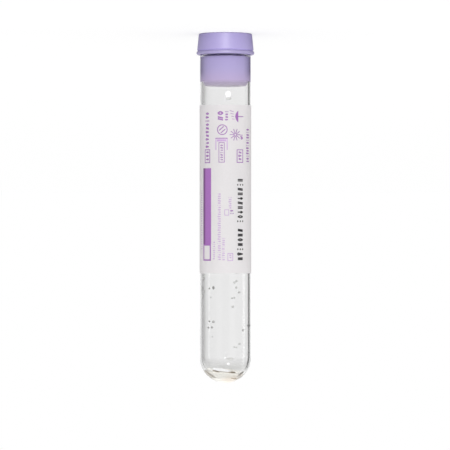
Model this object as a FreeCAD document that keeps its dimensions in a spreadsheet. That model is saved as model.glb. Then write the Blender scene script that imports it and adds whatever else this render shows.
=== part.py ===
import FreeCAD, Part
import math
import os
import Sketcher
from FreeCAD import Vector

# Evacuated blood collection tube: a round-ended glass tube, a one-piece rubber stopper with a plug in
# the bore, a paper label wrapped round the glass, and the liquid additive that was filled in before
# the tube was sealed. Millimetres.
#
# Every piece is drawn with its axis on Z, the glass's round end at the bottom and the label's printed
# side towards -Y. Laid down, the closed tube would roll, and its round end can't stand, so RestingPose
# turns it over onto the flat top of its stopper. The origin is the middle of that top, on the bench,
# and the printed side still looks towards -Y.

doc = FreeCAD.newDocument("BloodCollectionTube")

# ---------------------------------------------------------------------------------------------------
# driving sizes
# ---------------------------------------------------------------------------------------------------

DRIVING_SIZES = (
    # glass
    ("glassDiameter", 15.5, "outside of the glass tube"),
    ("glassWall", 0.8, "wall of the straight part"),
    ("glassLength", 100.0, "round end to rim"),
    ("glassBase", 1.0, "wall at the middle of the round end"),
    ("rimBevel", 0.25, "fire-polished edges of the rim"),
    # stopper head
    ("headHeight", 6.4, "head, from its seat on the rim to its top"),
    ("headTopOverhang", 0.35, "head at its top, past the glass on each side"),
    ("headSkirtOverhang", 0.85, "head just above the bead, the same way"),
    ("headEdgeRounding", 0.3, "outer top edge of the head"),
    ("beadOverhang", 1.05, "bead round the foot of the head, the same way"),
    ("beadHeight", 1.1, "bead, from the seat up"),
    ("beadBevel", 0.3, "both edges of the bead"),
    ("beadGroove", 0.35, "width of the groove over the bead"),
    ("beadGrooveDepth", 0.2, "depth of that groove, from the skirt"),
    ("seatClearance", 0.05, "between the head and the rim"),
    # needle recess in the top of the head
    ("recessDiameter", 8.0, "needle recess"),
    ("recessDepth", 3.0, "needle recess"),
    ("recessMouth", 0.5, "chamfer round the mouth of the recess"),
    ("recessFloorBevel", 0.5, "between the wall and the floor of the recess"),
    # plug
    ("plugLength", 9.5, "plug, from the head's seat down"),
    ("plugClearance", 0.05, "radial, between the plug and the bore"),
    ("plugLeadHeight", 1.0, "cone that guides the plug into the bore"),
    ("plugLeadInset", 0.8, "how much narrower the cone is at its end, each side"),
    ("hollowWall", 2.3, "rubber round the mouth of the hollow in the plug's underside"),
    ("hollowDraft", 0.6, "how much narrower the hollow is at its top, each side"),
    ("hollowDepth", 5.4, "hollow in the underside of the plug"),
    ("hollowBevel", 1.2, "sloped top edge of the hollow"),
    # label
    ("labelLength", 51.1, "along the tube"),
    ("labelBelowRim", 15.4, "from the rim to the label's upper edge"),
    ("labelThickness", 0.1, "paper"),
    ("labelGlue", 0.01, "film of adhesive between the paper and the glass"),
    ("labelGap", 62.0, "degrees of bare glass between the label's two side edges"),
    ("labelCorner", 1.2, "corner radius"),
    # additive
    ("poolDepth", 3.6, "liquid on the axis, from the glass up"),
    ("meniscusRadius", 12.5, "the liquid's hollow surface, which climbs the glass"),
    ("liquidClearance", 0.02, "between the liquid and the glass, in the model"),
)

sheet = doc.addObject("Spreadsheet::Sheet", "sizes")
for row, (alias, amount, meaning) in enumerate(DRIVING_SIZES, 1):
    sheet.set(f"A{row}", alias)
    sheet.set(f"B{row}", str(amount))
    sheet.set(f"C{row}", meaning)
    sheet.setAlias(f"B{row}", alias)
doc.recompute()


def worth(expression):
    """The number that an expression over the sheet gives."""
    found = sheet.evalExpression(expression)
    return float(getattr(found, "Value", found))


# Expressions that several pieces share.
OUTER = "sizes.glassDiameter / 2"
BORE = "(sizes.glassDiameter / 2 - sizes.glassWall)"
BORE_CENTRE = "(sizes.glassBase + sizes.glassDiameter / 2 - sizes.glassWall)"  # of its round end
SEAT = "(sizes.glassLength + sizes.seatClearance)"  # the head's underside, from the round end
HEAD_TOP = f"({OUTER} + sizes.headTopOverhang)"
HEAD_SKIRT = f"({OUTER} + sizes.headSkirtOverhang)"
BEAD = f"({OUTER} + sizes.beadOverhang)"
PLUG = f"({BORE} - sizes.plugClearance)"
LABEL_HIGH = "(sizes.glassLength - sizes.labelBelowRim)"
LABEL_LOW = f"({LABEL_HIGH} - sizes.labelLength)"

TOTAL = f"({SEAT} + sizes.headHeight)"  # round end to the top of the head

resting = doc.addObject("App::Placement", "RestingPose")
turned_over = "rotation(vector(0; 1; 0); 180)"
resting.setExpression("Placement", f"placement(vector(0; 0; {TOTAL}); {turned_over})")
doc.recompute()


# ---------------------------------------------------------------------------------------------------
# helpers
# ---------------------------------------------------------------------------------------------------


def new_body(name, along_axis="0"):
    """A PartDesign body in the resting pose, its own zero moved along the axis by an expression."""
    body = doc.addObject("PartDesign::Body", name.title().replace("_", ""))
    body.Label = name
    up = f"placement(vector(0; 0; {along_axis}); rotation(vector(0; 0; 1); 0))"
    body.setExpression("Placement", f"RestingPose.Placement * {up}")
    return body


def new_sketch(body, name, role):
    """An empty sketch on one of the body's own origin planes."""
    sketch = body.newObject("Sketcher::SketchObject", name)
    plane = next(f for f in body.Origin.OriginFeatures if f.Role == role)
    sketch.AttachmentSupport = [(plane, "")]
    sketch.MapMode = "FlatFace"
    return sketch


def bind(sketch, kind, places, expression, name):
    """A dimension of the sketch that follows an expression."""
    number = sketch.addConstraint(Sketcher.Constraint(kind, *places, worth(expression)))
    sketch.renameConstraint(number, name)
    sketch.setExpression(f"Constraints.{name}", expression)


def draw_outline(sketch, corners, arcs=None):
    """A closed outline through the corners, each a pair of expressions. Sides are straight, except
    those that arcs gives, as side number: (radius, centre across, centre up)."""
    arcs = arcs or {}
    spots = [Vector(worth(across), worth(up), 0) for across, up in corners]
    heads = []  # per side, which of its ends is the corner it starts from
    for side, start in enumerate(spots):
        end = spots[(side + 1) % len(spots)]
        if side not in arcs:
            sketch.addGeometry(Part.LineSegment(start, end), False)
            heads.append(1)
            continue
        radius, across, up = arcs[side]
        centre = Vector(worth(across), worth(up), 0)
        leaves, arrives = (math.atan2(spot.y - centre.y, spot.x - centre.x) for spot in (start, end))
        onward = (arrives - leaves) % (2 * math.pi) < math.pi  # whether it turns anticlockwise
        circle = Part.Circle(centre, Vector(0, 0, 1), worth(radius))
        ends = (leaves, arrives) if onward else (arrives, leaves)
        sketch.addGeometry(Part.ArcOfCircle(circle, *ends), False)
        heads.append(1 if onward else 2)
    for side, head in enumerate(heads):
        before = side - 1 if side else len(heads) - 1
        sketch.addConstraint(Sketcher.Constraint("Coincident", before, 3 - heads[before], side, head))
    for side, (across, up) in enumerate(corners):
        if across == "0":
            sketch.addConstraint(Sketcher.Constraint("PointOnObject", side, heads[side], -2))
        else:
            bind(sketch, "DistanceX", (-1, 1, side, heads[side]), across, f"across{side}")
        if up == "0":
            sketch.addConstraint(Sketcher.Constraint("PointOnObject", side, heads[side], -1))
        else:
            bind(sketch, "DistanceY", (-1, 1, side, heads[side]), up, f"up{side}")
    for side, (radius, _, _) in arcs.items():
        bind(sketch, "Radius", (side,), radius, f"radius{side}")


def turn(body, sketch, name):
    """The sketch turned once round the body's Z axis."""
    sketch.Visibility = False
    turned = body.newObject("PartDesign::Revolution", name)
    turned.Profile = sketch
    turned.ReferenceAxis = (sketch, ["V_Axis"])
    turned.Angle = 360
    doc.recompute()
    return turned


def rings(feature, *spots):
    """Names of the feature's circular edges about its Z axis at each (radius, height)."""
    names = []
    for radius, height in spots:
        wide, high = worth(radius), worth(height)
        for number, edge in enumerate(feature.Shape.Edges, 1):
            box = edge.BoundBox
            away = max(abs(box.XMax - wide), abs(box.ZMax - high), abs(box.ZMin - high))
            if away < 0.01:
                names.append(f"Edge{number}")
    if len(names) < len(spots):
        raise RuntimeError(f"{feature.Name}: an edge to be rounded is missing")
    return names


def ease(body, kind, name, size, *spots):
    """A Fillet (Radius) or Chamfer (Size) on the ring edges of the body's tip."""
    base = body.Tip
    eased = body.newObject(f"PartDesign::{kind}", name)
    eased.Base = (base, rings(base, *spots))
    eased.setExpression("Radius" if kind == "Fillet" else "Size", size)
    base.Visibility = False
    doc.recompute()
    return eased


# ---------------------------------------------------------------------------------------------------
# glass tube
# ---------------------------------------------------------------------------------------------------


def make_glass_tube():
    """A drawn tube with a blown round end, open at its fire-polished rim."""
    body = new_body("glass_tube")
    wall = new_sketch(body, "WallSection", "XZ_Plane")
    draw_outline(
        wall,
        [
            ("0", "0"),
            (OUTER, OUTER),
            (OUTER, "sizes.glassLength"),
            (BORE, "sizes.glassLength"),
            (BORE, BORE_CENTRE),
            ("0", "sizes.glassBase"),
        ],
        {0: (OUTER, "0", OUTER), 4: (BORE, "0", BORE_CENTRE)},
    )
    turn(body, wall, "Wall")
    rim = [(OUTER, "sizes.glassLength"), (BORE, "sizes.glassLength")]
    ease(body, "Chamfer", "FirePolish", "sizes.rimBevel", *rim)
    return body


# ---------------------------------------------------------------------------------------------------
# stopper
# ---------------------------------------------------------------------------------------------------


def make_stopper():
    """One rubber moulding: head, bead and plug, with a recess for the needle over a hollow underside.
    Its own zero is the head's underside, which sits on the rim."""
    body = new_body("stopper", SEAT)
    top = "sizes.headHeight"
    floor = "(sizes.headHeight - sizes.recessDepth)"
    recess = "sizes.recessDiameter / 2"
    groove_top = "(sizes.beadHeight + sizes.beadGroove)"
    plug_end = "-sizes.plugLength"
    hollow = f"({PLUG} - sizes.hollowWall)"
    dome = f"({PLUG} - sizes.hollowWall - sizes.hollowDraft)"
    dome_top = "(sizes.hollowDepth - sizes.plugLength)"

    section = new_sketch(body, "StopperSection", "XZ_Plane")
    draw_outline(
        section,
        [
            ("0", floor),
            (recess, floor),
            (recess, top),
            (HEAD_TOP, top),
            (HEAD_SKIRT, groove_top),
            (f"({HEAD_SKIRT} - sizes.beadGrooveDepth)", "(sizes.beadHeight + sizes.beadGroove / 2)"),
            (f"({BEAD} - sizes.beadBevel)", "sizes.beadHeight"),
            (BEAD, "(sizes.beadHeight - sizes.beadBevel)"),
            (BEAD, "sizes.beadBevel"),
            (f"({BEAD} - sizes.beadBevel)", "0"),
            (PLUG, "0"),
            (PLUG, "(sizes.plugLeadHeight - sizes.plugLength)"),
            (f"({PLUG} - sizes.plugLeadInset)", plug_end),
            (hollow, plug_end),
            (dome, dome_top),
            ("0", dome_top),
        ],
    )
    turn(body, section, "Moulding")
    ease(body, "Fillet", "HeadEdge", "sizes.headEdgeRounding", (HEAD_TOP, top))
    ease(body, "Chamfer", "RecessMouth", "sizes.recessMouth", (recess, top))
    ease(body, "Chamfer", "RecessFloor", "sizes.recessFloorBevel", (recess, floor))
    ease(body, "Chamfer", "HollowDome", "sizes.hollowBevel", (dome, dome_top))
    return body


# ---------------------------------------------------------------------------------------------------
# label
# ---------------------------------------------------------------------------------------------------


def make_label():
    """Paper wrapped round the glass, with a strip of bare glass left between its side edges."""
    body = new_body("label")
    inner = f"({OUTER} + sizes.labelGlue)"
    outer = f"({OUTER} + sizes.labelGlue + sizes.labelThickness)"
    ring = new_sketch(body, "LabelRing", "XY_Plane")
    ring.setExpression("AttachmentOffset.Base.z", LABEL_LOW)
    for number, radius in enumerate((inner, outer)):
        ring.addGeometry(Part.Circle(Vector(0, 0, 0), Vector(0, 0, 1), worth(radius)), False)
        ring.addConstraint(Sketcher.Constraint("Coincident", number, 3, -1, 1))
        bind(ring, "Radius", (number,), radius, f"radius{number}")
    ring.Visibility = False
    paper = body.newObject("PartDesign::Pad", "Paper")
    paper.Profile = ring
    paper.setExpression("Length", "sizes.labelLength")
    doc.recompute()
    whole = paper.Shape.Volume

    # The strip widens at both ends, which rounds the label's four corners.
    edge = f"({outer} * sin(sizes.labelGap / 2 * 1deg))"
    past = f"({edge} + sizes.labelCorner)"
    low_in = f"({LABEL_LOW} + sizes.labelCorner)"
    high_in = f"({LABEL_HIGH} - sizes.labelCorner)"
    low_out = f"({LABEL_LOW} - sizes.labelCorner)"  # the cutter runs on past both ends
    high_out = f"({LABEL_HIGH} + sizes.labelCorner)"
    corner = "sizes.labelCorner"
    strip = new_sketch(body, "BareStrip", "XZ_Plane")
    draw_outline(
        strip,
        [
            (f"-{past}", LABEL_LOW),
            (f"-{edge}", low_in),
            (f"-{edge}", high_in),
            (f"-{past}", LABEL_HIGH),
            (f"-{past}", high_out),
            (past, high_out),
            (past, LABEL_HIGH),
            (edge, high_in),
            (edge, low_in),
            (past, LABEL_LOW),
            (past, low_out),
            (f"-{past}", low_out),
        ],
        {
            0: (corner, f"-{past}", low_in),
            2: (corner, f"-{past}", high_in),
            6: (corner, past, high_in),
            8: (corner, past, low_in),
        },
    )
    strip.Visibility = False
    gap = body.newObject("PartDesign::Pocket", "SideEdges")
    gap.Profile = strip
    gap.Type = "ThroughAll"
    doc.recompute()
    if gap.Shape.Volume > 0.95 * whole:
        raise RuntimeError("the strip of bare glass was not cut out of the label")
    return body


# ---------------------------------------------------------------------------------------------------
# additive
# ---------------------------------------------------------------------------------------------------

LIQUID_WALL = f"({BORE} - sizes.liquidClearance)"
LEVEL = "(sizes.glassBase + sizes.poolDepth)"  # of the pool's surface, on the axis
UNDER_PLUG = f"({SEAT} - sizes.plugLength)"

# Drops that cling to the straight bore: degrees round from the printed side, height up the tube, width
# across, and how far they stand off the glass. One hangs under the plug, one below the label, and one
# just above the round end.
DROPS = (
    (8, f"({UNDER_PLUG} - 3.2)", 2.2, 0.55),
    (-36, f"({LABEL_LOW} - 4.6)", 1.2, 0.4),
    (12, f"({BORE_CENTRE} + 0.7)", 1.4, 0.3),
)


def ball(name, radius, placement):
    """A sphere whose radius and place are expressions."""
    sphere = doc.addObject("Part::Sphere", name)
    sphere.setExpression("Radius", radius)
    sphere.setExpression("Placement", placement)
    return sphere


def make_additive():
    """The pool in the round end and the drops above it, all of one liquid. The pool's surface is a
    hollow ball, drawn up where it wets the glass. Each drop is a cap of a ball, cut off at the glass."""
    upright = "rotation(vector(0; 0; 1); 0)"
    pool = doc.addObject("Part::Cut", "Pool")
    pool.Base = ball("RoundEnd", LIQUID_WALL, f"placement(vector(0; 0; {BORE_CENTRE}); {upright})")
    over = f"{LEVEL} + sizes.meniscusRadius"
    pool.Tool = ball("Meniscus", "sizes.meniscusRadius", f"placement(vector(0; 0; {over}); {upright})")

    room = doc.addObject("Part::Cylinder", "Bore")
    room.setExpression("Radius", LIQUID_WALL)
    room.setExpression("Height", "sizes.glassLength")
    pieces = [pool]
    for number, (around, height, width, stand_off) in enumerate(DROPS, 1):
        radius = (width**2 / 4 + stand_off**2) / (2 * stand_off)
        sunk = radius - stand_off  # how far outside the bore the ball's centre lies
        aside = f"placement(vector(0; 0; 0); rotation(vector(0; 0; 1); {around}))"
        out = f"placement(vector(0; -1 * {LIQUID_WALL} - {sunk}; {height}); {upright})"
        drop = doc.addObject("Part::Common", f"Drop{number}")
        drop.Base = room
        drop.Tool = ball(f"DropBall{number}", str(radius), f"{aside} * {out}")
        pieces.append(drop)

    liquid = doc.addObject("Part::Compound", "Additive")
    liquid.Label = "additive"
    liquid.Links = pieces
    liquid.setExpression("Placement", "RestingPose.Placement")
    return liquid


# ---------------------------------------------------------------------------------------------------
# the whole tube
# ---------------------------------------------------------------------------------------------------

pieces = [
    make_glass_tube(),
    make_stopper(),
    make_label(),
    make_additive(),
]
doc.recompute()

for thing in doc.Objects:
    if {"Invalid", "Error"} & set(thing.State):
        raise RuntimeError(f"{thing.Name} is {thing.State}")
    if thing.TypeId == "Sketcher::SketchObject" and not thing.FullyConstrained:
        raise RuntimeError(f"{thing.Name} is not fully dimensioned")
for piece in pieces:
    if piece.Shape.isNull() or not piece.Shape.isValid() or not piece.Shape.Solids:
        raise RuntimeError(f"{piece.Label} has no valid solid")

os.makedirs("parts", exist_ok=True)
for piece in pieces:
    piece.Shape.exportStep(f"parts/{piece.Label}.step")
    box = piece.Shape.optimalBoundingBox(False)
    print(
        f"{piece.Label}: {len(piece.Shape.Solids)} solid(s), {piece.Shape.Volume:.2f} mm3,"
        f" x {box.XMin:.2f}..{box.XMax:.2f}, y {box.YMin:.2f}..{box.YMax:.2f},"
        f" z {box.ZMin:.3f}..{box.ZMax:.3f}"
    )
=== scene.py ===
# Blood collection tube, standing on its stopper with the round end up: clear glass,
# lavender stopper, white wrapped label with plain print, clear additive in the round end.
import bpy
import bmesh
import math
import random
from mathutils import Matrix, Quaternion, Vector


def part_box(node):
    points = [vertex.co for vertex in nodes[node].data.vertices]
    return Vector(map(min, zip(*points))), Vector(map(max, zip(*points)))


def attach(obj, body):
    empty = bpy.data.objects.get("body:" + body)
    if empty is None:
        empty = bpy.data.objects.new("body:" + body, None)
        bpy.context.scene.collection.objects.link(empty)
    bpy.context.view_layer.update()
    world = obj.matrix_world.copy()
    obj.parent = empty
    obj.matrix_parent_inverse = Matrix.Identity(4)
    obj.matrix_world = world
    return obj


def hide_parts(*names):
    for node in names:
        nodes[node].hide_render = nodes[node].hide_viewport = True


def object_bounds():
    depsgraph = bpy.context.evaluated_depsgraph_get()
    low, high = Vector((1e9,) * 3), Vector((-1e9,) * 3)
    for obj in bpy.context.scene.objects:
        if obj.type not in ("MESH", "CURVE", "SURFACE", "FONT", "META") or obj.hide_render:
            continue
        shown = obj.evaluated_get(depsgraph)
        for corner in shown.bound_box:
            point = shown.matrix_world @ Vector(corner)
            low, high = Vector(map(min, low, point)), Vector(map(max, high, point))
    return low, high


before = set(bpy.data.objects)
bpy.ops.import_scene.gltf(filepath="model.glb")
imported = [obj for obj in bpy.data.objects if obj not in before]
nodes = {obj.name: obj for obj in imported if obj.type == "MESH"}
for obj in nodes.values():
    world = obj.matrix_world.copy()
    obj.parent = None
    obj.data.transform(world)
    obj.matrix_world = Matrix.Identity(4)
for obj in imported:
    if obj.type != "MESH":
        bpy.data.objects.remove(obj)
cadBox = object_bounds()
mm = 0.001
print("frame loaded:", ", ".join(sorted(nodes)))


# helpers shared by all pieces

def linear(hexColour, strength=1.0):
    # sRGB hex to the linear colour that the shaders take
    channels = [int(hexColour[k:k + 2], 16) / 255 for k in (1, 3, 5)]
    lit = [c / 12.92 if c <= 0.04045 else ((c + 0.055) / 1.055) ** 2.4 for c in channels]
    return (*[c * strength for c in lit], 1.0)


def addNode(tree, kind, settings=None, inputs=None):
    # one node with its settings and links; "stops" fills a colour ramp
    node = tree.nodes.new(kind)
    for key, value in (settings or {}).items():
        if key == "stops":
            ramp = node.color_ramp
            for k, (place, colour) in enumerate(value):
                stop = ramp.elements[k] if k < 2 else ramp.elements.new(place)
                stop.position, stop.color = place, colour
        else:
            setattr(node, key, value)
    for socket, value in (inputs or {}).items():
        if isinstance(value, bpy.types.NodeSocket):
            tree.links.new(value, node.inputs[socket])
        else:
            node.inputs[socket].default_value = value
    return node


def newMaterial(name):
    material = bpy.data.materials.new(name)
    material.use_nodes = True
    material.node_tree.nodes.clear()
    return material, material.node_tree


def closeMesh(name, shape, material, sharpAngle=40):
    # turns a finished bmesh into a smooth-shaded object
    bmesh.ops.recalc_face_normals(shape, faces=shape.faces)
    mesh = bpy.data.meshes.new(name)
    shape.to_mesh(mesh)
    shape.free()
    mesh.shade_smooth()
    mesh.set_sharp_from_angle(angle=math.radians(sharpAngle))
    mesh.materials.append(material)
    piece = bpy.data.objects.new(name, mesh)
    bpy.context.scene.collection.objects.link(piece)
    return piece


def joinRings(shape, rings):
    # faces between neighbouring rings; a ring of one vertex is a pole
    for low, high in zip(rings, rings[1:]):
        turns = max(len(low), len(high))
        for k in range(turns):
            corners = [low[k % len(low)], low[(k + 1) % len(low)],
                       high[(k + 1) % len(high)], high[k % len(high)]]
            shape.faces.new(list(dict.fromkeys(corners)))


softPass = "#fbfbfb"           # how much of the soft light a clear piece lets through


def passSoftLight(tree, body, shadeBelow=None):
    # lamps and soft light pass straight through a clear piece, so what is inside stays lit;
    # none passes under the height shadeBelow
    lampPath = addNode(tree, "ShaderNodeBsdfTransparent", inputs={"Color": linear(softPass)})
    ray = addNode(tree, "ShaderNodeLightPath")
    soft = addNode(tree, "ShaderNodeMath", {"operation": "MAXIMUM"},
                   {0: ray.outputs["Is Shadow Ray"], 1: ray.outputs["Is Diffuse Ray"]})
    if shadeBelow:
        place = addNode(tree, "ShaderNodeTexCoord")
        height = addNode(tree, "ShaderNodeSeparateXYZ", inputs={0: place.outputs["Object"]})
        above = addNode(tree, "ShaderNodeMath", {"operation": "GREATER_THAN"},
                        {0: height.outputs["Z"], 1: shadeBelow})
        soft = addNode(tree, "ShaderNodeMath", {"operation": "MULTIPLY"},
                       {0: soft.outputs[0], 1: above.outputs[0]})
    mix = addNode(tree, "ShaderNodeMixShader",
                  inputs={0: soft.outputs[0], 1: body.outputs[0], 2: lampPath.outputs[0]})
    addNode(tree, "ShaderNodeOutputMaterial", inputs={"Surface": mix.outputs[0]})


def clearMaterial(name, tint, ior, edge=None, edgeAlong=None, shadeBelow=None):
    # edge: from where to where it takes the third value's colour as it is seen edge-on;
    # edgeAlong: heights and how much of that colour shows there
    material, tree = newMaterial(name)
    inputs = {"Base Color": linear(tint), "IOR": ior, "Roughness": 0.0, "Transmission Weight": 1.0}
    if edge:
        slant = addNode(tree, "ShaderNodeLayerWeight", inputs={"Blend": 0.5})
        darker = addNode(tree, "ShaderNodeValToRGB",
                         {"stops": [(edge[0], linear(tint)), (edge[1], linear(edge[2]))]},
                         {"Fac": slant.outputs["Facing"]})
        inputs["Base Color"] = darker.outputs["Color"]
        if edgeAlong:
            low, high = edgeAlong[0][0], edgeAlong[-1][0]
            place = addNode(tree, "ShaderNodeTexCoord")
            height = addNode(tree, "ShaderNodeSeparateXYZ", inputs={0: place.outputs["Object"]})
            height = addNode(tree, "ShaderNodeMapRange", inputs={
                "Value": height.outputs["Z"], "From Min": low, "From Max": high})
            stops = [((z - low) / (high - low), (v, v, v, 1)) for z, v in edgeAlong]
            share = addNode(tree, "ShaderNodeValToRGB", {"stops": stops}, {"Fac": height.outputs[0]})
            partly = addNode(tree, "ShaderNodeMix", {"data_type": "RGBA"}, {
                0: share.outputs["Color"], 6: linear(tint), 7: darker.outputs["Color"]})
            inputs["Base Color"] = partly.outputs[2]
    body = addNode(tree, "ShaderNodeBsdfPrincipled", inputs=inputs)
    passSoftLight(tree, body, shadeBelow)
    return material


# The glass tube, with its round end at the top and its rim down in the stopper's head.

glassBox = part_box("glass_tube")
glassTube = {
    "wall": 0.8 * mm,
    "base": 1.0 * mm,          # thickness at the tip of the round end
    "turns": 192,
    "arcSteps": 40,            # rows of the round end, outside and inside
    "rimSteps": 16,
    "rowHeight": 1.0 * mm,
    "fineRow": 0.15 * mm,      # rows of the bore beside the plug, where it narrows and widens
    "fineRows": 65,
    "wobble": 0.008 * mm,      # how far the drawn bore wanders from round
    "ior": 1.5,
    "tint": "#fcfcfc",
    "paintedShadeOverPlug": "#80788c",     # painted shade: its edges are darkened where the plug shows through them
    "rimShade": 0.6 * mm,      # how far from the rim soft light is held back, for a dark crevice
    "wetOverlap": 0.03 * mm,   # how far the pressed rubber reaches into the wall, so no air shows
    "wetEnd": 1.2 * mm,        # the last stretch of the plug, its lead-in, has air round it again
    "wetEase": (0.3 * mm, 0.4 * mm),   # heights over which the bore narrows, and widens again
}
outerRadius = (glassBox[1].x - glassBox[0].x) / 2
boreRadius = outerRadius - glassTube["wall"]
glassTop, rimHeight = glassBox[1].z, glassBox[0].z
outerCentre = glassTop - outerRadius
boreCentre = glassTop - glassTube["base"] - boreRadius
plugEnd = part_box("stopper")[1].z
plugRadius = max(math.hypot(v.co.x, v.co.y) for v in nodes["stopper"].data.vertices
                 if v.co.z > (rimHeight + plugEnd) / 2)


def arcPoints(centre, radius, start, end, steps):
    # (radius, height) points on an arc about a point of the section, ends included
    points = []
    for k in range(steps + 1):
        a = math.radians(start + (end - start) * k / steps)
        points.append((max(0.0, centre[0] + radius * math.cos(a)), centre[1] + radius * math.sin(a)))
    return points


def boreAt(height):
    # the bore's radius; beside the plug the wall takes in the rubber's skin
    narrows, widens = glassTube["wetEase"]
    ease = min(1.0, max(0.0, (height - rimHeight - glassTube["rimShade"]) / narrows),
               max(0.0, (plugEnd - glassTube["wetEnd"] - height) / widens))
    ease = ease * ease * (3 - 2 * ease)
    return boreRadius + ease * (plugRadius - glassTube["wetOverlap"] - boreRadius)


def wander(a, height):
    # how far the drawn bore lies from its circle: three slow waves, none near plug or round end
    h = height / mm
    waves = math.sin(2 * a + 0.11 * h) + math.sin(3 * a - 0.23 * h) + 0.6 * math.sin(5 * a + 0.71 * h)
    fade = min(1.0, max(0.0, (height - plugEnd) / (3 * mm)), (boreCentre - height) / (4 * mm))
    return glassTube["wobble"] * waves / 2.6 * fade


def makeGlass(material):
    half = glassTube["wall"] / 2
    rows = round((outerCentre - rimHeight - half) / glassTube["rowHeight"])
    outer = arcPoints((0, outerCentre), outerRadius, 90, 0, glassTube["arcSteps"])
    outerWall = [(outerRadius, outerCentre + (rimHeight + half - outerCentre) * k / rows)
                 for k in range(1, rows)]
    # the flame-polished rim is a full round
    rim = arcPoints((outerRadius - half, rimHeight + half), half, 0, -180, glassTube["rimSteps"])
    heights = [rimHeight + half + glassTube["fineRow"] * k for k in range(1, glassTube["fineRows"] + 1)]
    heights += [heights[-1] + (boreCentre - heights[-1]) * k / rows for k in range(1, rows)]
    boreWall = [(boreAt(height), height) for height in heights]
    bore = arcPoints((0, boreCentre), boreRadius, 0, 90, glassTube["arcSteps"])
    shape = bmesh.new()
    rings = []
    for part in (outer, outerWall, rim, boreWall, bore):
        for radius, height in part:
            if radius < 1e-7:
                rings.append([shape.verts.new((0, 0, height))])
                continue
            ring = []
            for k in range(glassTube["turns"]):
                a = 2 * math.pi * k / glassTube["turns"]
                r = radius + (wander(a, height) if part is boreWall else 0.0)
                ring.append(shape.verts.new((r * math.cos(a), r * math.sin(a), height)))
            rings.append(ring)
    joinRings(shape, rings)
    return closeMesh("glassTube", shape, material)


# Drawn soda-lime glass: water-clear and glossy, with faint streaks along the tube from drawing.
# Beside the plug its edges are darkened as they are seen edge-on, a painted shade for the plug's sides.
paintedShadeBesidePlug = [(rimHeight + 0.3 * mm, 0.0), (rimHeight + 1.0 * mm, 1.0), (plugEnd - 4.2 * mm, 1.0),
              (plugEnd - 1.2 * mm, 0.2), (plugEnd - 0.9 * mm, 0.0)]
drawnGlass = clearMaterial("drawnSodaLimeGlass", glassTube["tint"], glassTube["ior"],
                           edge=(0.3, 0.68, glassTube["paintedShadeOverPlug"]), edgeAlong=paintedShadeBesidePlug,
                           shadeBelow=rimHeight + glassTube["rimShade"])
glassPiece = makeGlass(drawnGlass)
glassPiece.visible_diffuse = False     # so soft light reaches the plug's end and the label's inside
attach(glassPiece, "tube")
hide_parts("glass_tube")
print("glass tube made")


# The additive: a pool in the round end, and drops, film, streaks and grains on the bore.

additive = {
    "ior": 1.34,
    "sink": 0.05 * mm,         # how far the liquid reaches into the glass, so no air film shows
    "poolEdge": 3.72 * mm,     # the pool's edge and middle, from the tip of the round end
    "poolMiddle": 3.62 * mm,
    "poolTilt": 0.08,          # slope of its surface
    "poolClimb": 12,           # the higher, the later the surface climbs at the wall
    "poolRings": (20, 15),     # rings of its surface, and along the wall
    "poolIor": 1.18,           # low, so that the pool shows as faintly as the real one does
    "filmReach": 8.3 * mm,     # how far from the tip the wet film ends
    "filmStart": 1.6 * mm,     # how far inside the pool's edge it starts
    "film": 0.04 * mm,         # its thickness
    "filmRows": 24,
    "sediment": (-1.3 * mm, -2.4 * mm, glassTop - 1.65 * mm),
    "clear": "#fefdf9",
    "warm": "#efdfcd",         # near the sediment
    "brown": "#857462",        # where the eye looks through most of it
    "glow": 0.12,              # painted light: a faint glow the pool gives off, for the light that gathers in the round end
    "dull": "#e9e9e8",         # the glass under the film
    "turns": 96,
}
# degrees from the middle of the label (towards -X), then in mm: distance from the tip, half width,
# half height, bulge, and for some the slope
# all of them are painted white in the middle, a painted highlight; the last is long and thin
largeDrops = [(6.7, 87.75, 0.88, 1.05, 0.34), (7.5, 6.3, 0.5, 0.3, 0.2),
              (-10.9, 4.45, 3.5, 0.46, 0.22, -0.13)]
smallDrops = [
    (-30.2, 18.9, 0.34, 0.36, 0.4), (-41.8, 19.0, 0.26, 0.26, 0.2), (-34.3, 17.2, 0.3, 0.3, 0.35),
    (-45.0, 17.1, 0.3, 0.24, 0.25), (-30.2, 29.2, 0.34, 0.5, 0.4), (-41.8, 29.0, 0.24, 0.24, 0.2),
    (-37.5, 26.3, 0.14, 0.16, 0.12), (-33.0, 14.4, 0.14, 0.14, 0.12), (80.7, 17.6, 0.5, 0.3, 0.35),
]
# mm across and to the back, and the radius
grains = [(-2.65, -2.1, 0.42), (-1.82, -3.1, 0.26), (-2.3, -2.5, 0.2), (-3.2, -1.6, 0.16)]
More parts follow.
